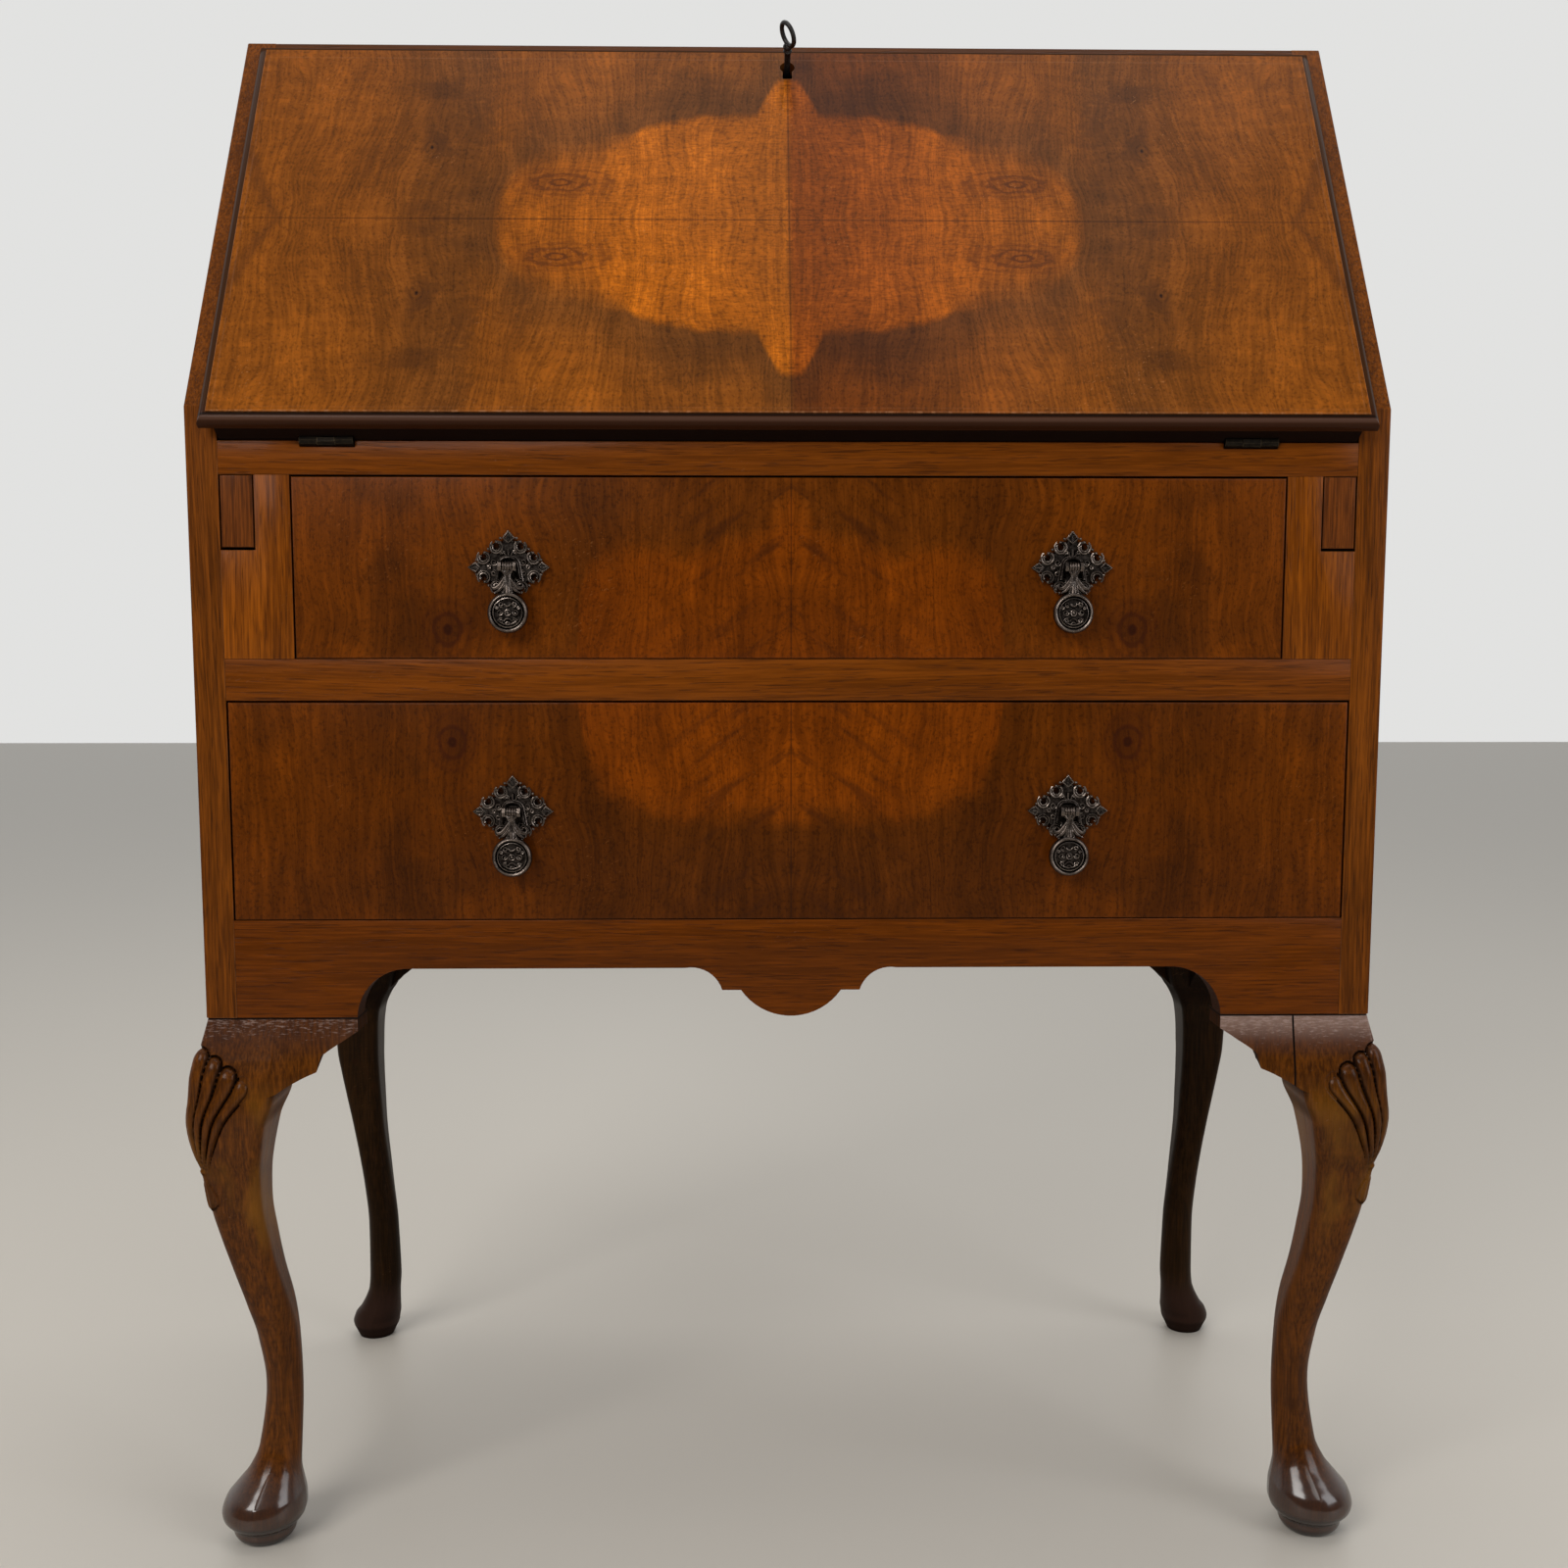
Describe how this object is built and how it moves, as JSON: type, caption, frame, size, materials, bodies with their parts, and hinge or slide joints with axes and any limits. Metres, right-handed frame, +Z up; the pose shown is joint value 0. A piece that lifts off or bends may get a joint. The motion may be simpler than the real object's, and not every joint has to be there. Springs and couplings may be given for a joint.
{
  "type": "writing bureau",
  "caption": "Slope-fall writing bureau on cabriole legs, with drawers below, sliding lopers that hold the open fall, pendant drop pulls and a fitted inside.",
  "frame": {"origin": "on the floor, midway across the width and midway through the overall depth", "axes": "+X to the right seen from the front, +Y from the front to the back, +Z up"},
  "size_m": [0.789, 0.408, 1.0358],
  "materials": {
    "carcass_walnut": "polished reddish walnut, worn at the edges",
    "leg_walnut": "dark polished walnut, glossy",
    "fall_veneer": "polished figured walnut veneer",
    "drawer_veneer": "polished bookmatched walnut veneer",
    "moulding_walnut": "near-black polished moulding",
    "loper_walnut": "worn brown end grain and waxed arm",
    "lining_oak": "bare pale oak",
    "bottom_ply": "thin bare ply",
    "back_ply": "stained thin ply",
    "frame_pine": "bare softwood",
    "nest_oak": "stained oak, satin",
    "antique_bronze": "dark antique bronze, worn bright on the high places",
    "hinge_brass": "dulled brass",
    "lock_steel": "dulled steel"
  },
  "bodies": {
    "carcass": {"side_left": "carcass_walnut", "side_right": "carcass_walnut", "top_board": "carcass_walnut", "writing_board": "carcass_walnut", "divider_rail": "carcass_walnut", "apron_rail": "carcass_walnut", "back_rail": "frame_pine", "back_panel": "back_ply", "dust_board": "bottom_ply", "drawer_runners": "frame_pine", "drawer_stops": "frame_pine", "corner_blocks": "frame_pine", "leg_front_right": "leg_walnut", "leg_front_left": "leg_walnut", "leg_rear_right": "leg_walnut", "leg_rear_left": "leg_walnut", "knee_blocks_front": "leg_walnut", "knee_blocks_rear": "leg_walnut", "loper_stile_right": "carcass_walnut", "loper_stile_left": "carcass_walnut", "loper_partition_right": "frame_pine", "loper_partition_left": "frame_pine", "loper_bearers": "frame_pine", "hinge_leaves_board": "hinge_brass", "hinge_screws_board": "hinge_brass", "nest_uprights": "nest_oak", "nest_shelf": "nest_oak", "nest_valances": "nest_oak"},
    "fall": {"fall_panel": "fall_veneer", "fall_edging": "moulding_walnut", "hinge_leaves_fall": "hinge_brass", "hinge_screws_fall": "hinge_brass", "lock_case": "hinge_brass"},
    "bolt": {"lock_bolt": "lock_steel"},
    "key": {"key": "lock_steel"},
    "loper_left": {"loper_left": "loper_walnut"},
    "loper_right": {"loper_right": "loper_walnut"},
    "upper_drawer": {"upper_drawer_front": "drawer_veneer", "upper_drawer_side_left": "lining_oak", "upper_drawer_side_right": "lining_oak", "upper_drawer_back": "lining_oak", "upper_drawer_bottom": "bottom_ply", "upper_pull_plates": "antique_bronze", "upper_pull_posts": "antique_bronze"},
    "upper_drop_left": {"upper_pull_drop_left": "antique_bronze"},
    "upper_drop_right": {"upper_pull_drop_right": "antique_bronze"},
    "lower_drawer": {"lower_drawer_front": "drawer_veneer", "lower_drawer_side_left": "lining_oak", "lower_drawer_side_right": "lining_oak", "lower_drawer_back": "lining_oak", "lower_drawer_bottom": "bottom_ply", "lower_pull_plates": "antique_bronze", "lower_pull_posts": "antique_bronze"},
    "lower_drop_left": {"lower_pull_drop_left": "antique_bronze"},
    "lower_drop_right": {"lower_pull_drop_right": "antique_bronze"},
    "nest_drawer_left": {"nest_drawer_left_front": "nest_oak", "nest_drawer_left_tray": "nest_oak"},
    "nest_drawer_right": {"nest_drawer_right_front": "nest_oak", "nest_drawer_right_tray": "nest_oak"}
  },
  "joints": [
    {"name": "fall_hinge", "type": "hinge", "parent": "carcass", "child": "fall", "pos_m": [0, -0.18944, 0.735], "axis": [1, 0, 0], "range_deg": [0, 120.1]},
    {"name": "key_turn", "type": "hinge", "parent": "fall", "child": "key", "pos_m": [0, -0.05423, 1.00919], "axis": [0, -0.8651, 0.5015], "range_deg": [0, 90]},
    {"name": "bolt_throw", "type": "slide", "parent": "fall", "child": "bolt", "axis": [0, 0.5015, 0.8651], "range_m": [0, 0.008]},
    {"name": "loper_left_slide", "type": "slide", "parent": "carcass", "child": "loper_left", "axis": [0, -1, 0], "range_m": [0, 0.235]},
    {"name": "loper_right_slide", "type": "slide", "parent": "carcass", "child": "loper_right", "axis": [0, -1, 0], "range_m": [0, 0.235]},
    {"name": "upper_drawer_slide", "type": "slide", "parent": "carcass", "child": "upper_drawer", "axis": [0, -1, 0], "range_m": [0, 0.265]},
    {"name": "upper_drop_left_swing", "type": "hinge", "parent": "upper_drawer", "child": "upper_drop_left", "pos_m": [-0.179, -0.19844, 0.65625], "axis": [-1, 0, 0], "range_deg": [0, 80]},
    {"name": "upper_drop_right_swing", "type": "hinge", "parent": "upper_drawer", "child": "upper_drop_right", "pos_m": [0.179, -0.19844, 0.65625], "axis": [-1, 0, 0], "range_deg": [0, 80]},
    {"name": "lower_drawer_slide", "type": "slide", "parent": "carcass", "child": "lower_drawer", "axis": [0, -1, 0], "range_m": [0, 0.265]},
    {"name": "lower_drop_left_swing", "type": "hinge", "parent": "lower_drawer", "child": "lower_drop_left", "pos_m": [-0.179, -0.19844, 0.501], "axis": [-1, 0, 0], "range_deg": [0, 80]},
    {"name": "lower_drop_right_swing", "type": "hinge", "parent": "lower_drawer", "child": "lower_drop_right", "pos_m": [0.179, -0.19844, 0.501], "axis": [-1, 0, 0], "range_deg": [0, 80]},
    {"name": "nest_drawer_left_slide", "type": "slide", "parent": "carcass", "child": "nest_drawer_left", "axis": [0, -1, 0], "range_m": [0, 0.12]},
    {"name": "nest_drawer_right_slide", "type": "slide", "parent": "carcass", "child": "nest_drawer_right", "axis": [0, -1, 0], "range_m": [0, 0.12]}
  ],
  "couplings": [
    {"joint": "bolt_throw", "follows": "key_turn", "m_per_rad": 0.005093}
  ]
}
